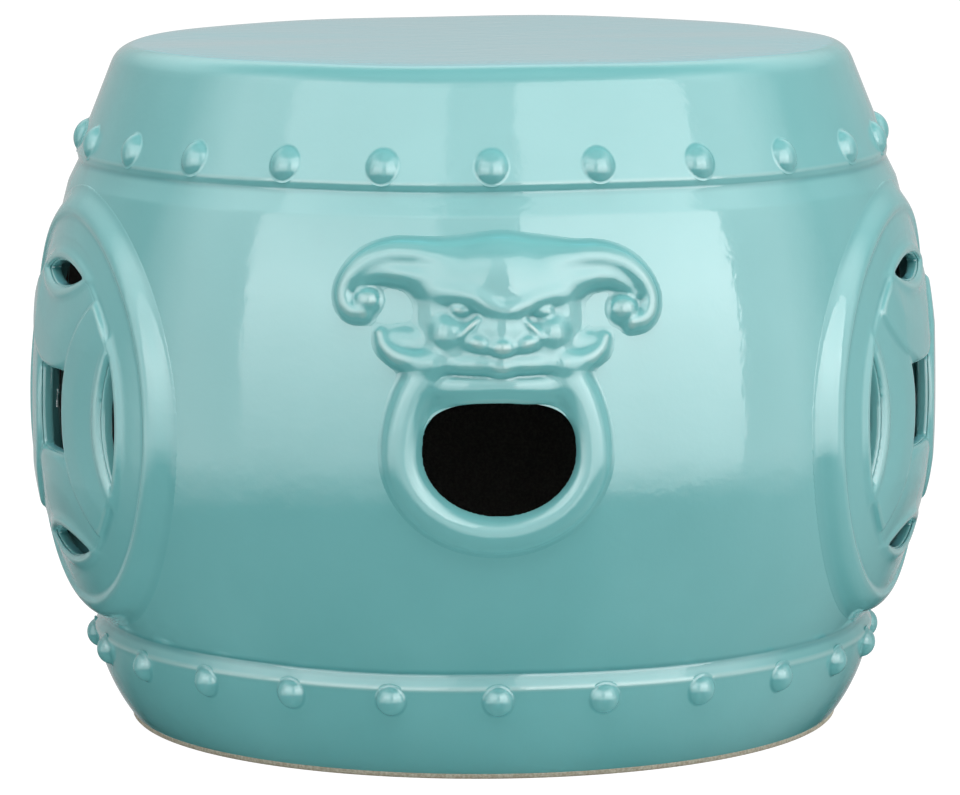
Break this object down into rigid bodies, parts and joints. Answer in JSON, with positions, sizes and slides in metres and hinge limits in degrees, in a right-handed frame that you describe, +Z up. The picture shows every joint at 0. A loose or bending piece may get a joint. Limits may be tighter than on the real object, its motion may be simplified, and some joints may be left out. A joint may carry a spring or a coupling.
{
  "type": "ceramic garden stool",
  "caption": "Low drum-shaped glazed ceramic garden stool with studded bands, pierced coin medallions and beast masks whose moulded rings frame hand holes.",
  "frame": {"origin": "centre of the foot ring on the ground", "axes": "+Z up along the axis that the stool was turned on; the main beast mask faces -Y; +X to its left, which is the picture's right"},
  "size_m": [0.546, 0.5538, 0.406],
  "materials": {
    "turquoise_glaze": "gloss",
    "bare_clay": "matte"
  },
  "bodies": {
    "root": {"seat_slab": "turquoise_glaze", "shoulder_band": "turquoise_glaze", "barrel_wall": "turquoise_glaze", "foot_band": "turquoise_glaze", "foot_rim": "bare_clay", "upper_studs": "turquoise_glaze", "lower_studs": "turquoise_glaze", "right_coin_frame": "turquoise_glaze", "right_coin_plate": "turquoise_glaze", "right_coin_bands": "turquoise_glaze", "left_coin_frame": "turquoise_glaze", "left_coin_plate": "turquoise_glaze", "left_coin_bands": "turquoise_glaze", "front_mask_face": "turquoise_glaze", "front_mask_left_horn": "turquoise_glaze", "front_mask_right_horn": "turquoise_glaze", "front_mask_left_ear": "turquoise_glaze", "front_mask_right_ear": "turquoise_glaze", "front_mask_ring": "turquoise_glaze", "rear_right_mask_face": "turquoise_glaze", "rear_right_mask_left_horn": "turquoise_glaze", "rear_right_mask_right_horn": "turquoise_glaze", "rear_right_mask_left_ear": "turquoise_glaze", "rear_right_mask_right_ear": "turquoise_glaze", "rear_right_mask_ring": "turquoise_glaze", "rear_left_mask_face": "turquoise_glaze", "rear_left_mask_left_horn": "turquoise_glaze", "rear_left_mask_right_horn": "turquoise_glaze", "rear_left_mask_left_ear": "turquoise_glaze", "rear_left_mask_right_ear": "turquoise_glaze", "rear_left_mask_ring": "turquoise_glaze"}
  },
  "joints": []
}
